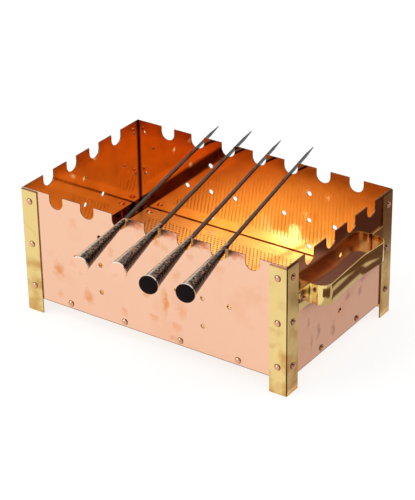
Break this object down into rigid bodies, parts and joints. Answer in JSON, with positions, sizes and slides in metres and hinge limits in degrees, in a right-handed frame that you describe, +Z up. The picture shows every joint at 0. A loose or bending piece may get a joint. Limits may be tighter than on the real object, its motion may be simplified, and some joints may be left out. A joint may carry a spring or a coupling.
{
  "type": "charcoal brazier",
  "caption": "Low rectangular copper brazier on brass angle legs, with notched walls, a lift-out grate, strap handles and skewers laid across the notches.",
  "frame": {"origin": "on the table, under the middle of the bounding box of the whole, skewers included", "axes": "+X to the right along the long walls, +Y from the skewers' hand grips towards their tips, +Z up"},
  "size_m": [0.3902, 0.3897, 0.1551],
  "materials": {
    "copper_sheet": "polished",
    "copper_rivet": "polished",
    "brass_angle": "polished",
    "brass_strap": "polished",
    "brass_mesh": "satin",
    "skewer_steel": "satin",
    "hammered_copper": "hammered",
    "copper_cap": "polished"
  },
  "bodies": {
    "brazier": {"front_wall": "copper_sheet", "back_wall": "copper_sheet", "left_wall": "copper_sheet", "right_wall": "copper_sheet", "pan": "copper_sheet", "leg_front_left": "brass_angle", "leg_front_right": "brass_angle", "leg_back_left": "brass_angle", "leg_back_right": "brass_angle", "rivets_front_left": "copper_rivet", "rivets_front_right": "copper_rivet", "rivets_back_left": "copper_rivet", "rivets_back_right": "copper_rivet", "rivets_pan": "copper_rivet", "handle_left": "brass_strap", "handle_right": "brass_strap", "rivets_handle_left": "copper_rivet", "rivets_handle_right": "copper_rivet"},
    "grate": {"grate": "brass_mesh", "grate_posts": "copper_rivet"},
    "skewer_1": {"skewer_1_blade": "skewer_steel", "skewer_1_cone": "hammered_copper", "skewer_1_cap": "copper_cap"},
    "skewer_2": {"skewer_2_blade": "skewer_steel", "skewer_2_cone": "hammered_copper", "skewer_2_cap": "copper_cap"},
    "skewer_3": {"skewer_3_blade": "skewer_steel", "skewer_3_cone": "hammered_copper", "skewer_3_cap": "copper_cap"},
    "skewer_4": {"skewer_4_blade": "skewer_steel", "skewer_4_cone": "hammered_copper", "skewer_4_cap": "copper_cap"}
  },
  "joints": [
    {"name": "grate_lift", "type": "slide", "parent": "brazier", "child": "grate", "axis": [0, 0, 1], "range_m": [0, 0.085]},
    {"name": "skewer_1_lift", "type": "slide", "parent": "brazier", "child": "skewer_1", "axis": [0, 0, 1], "range_m": [0, 0.06]},
    {"name": "skewer_2_lift", "type": "slide", "parent": "brazier", "child": "skewer_2", "axis": [0, 0, 1], "range_m": [0, 0.06]},
    {"name": "skewer_3_lift", "type": "slide", "parent": "brazier", "child": "skewer_3", "axis": [0, 0, 1], "range_m": [0, 0.06]},
    {"name": "skewer_4_lift", "type": "slide", "parent": "brazier", "child": "skewer_4", "axis": [0, 0, 1], "range_m": [0, 0.06]}
  ]
}
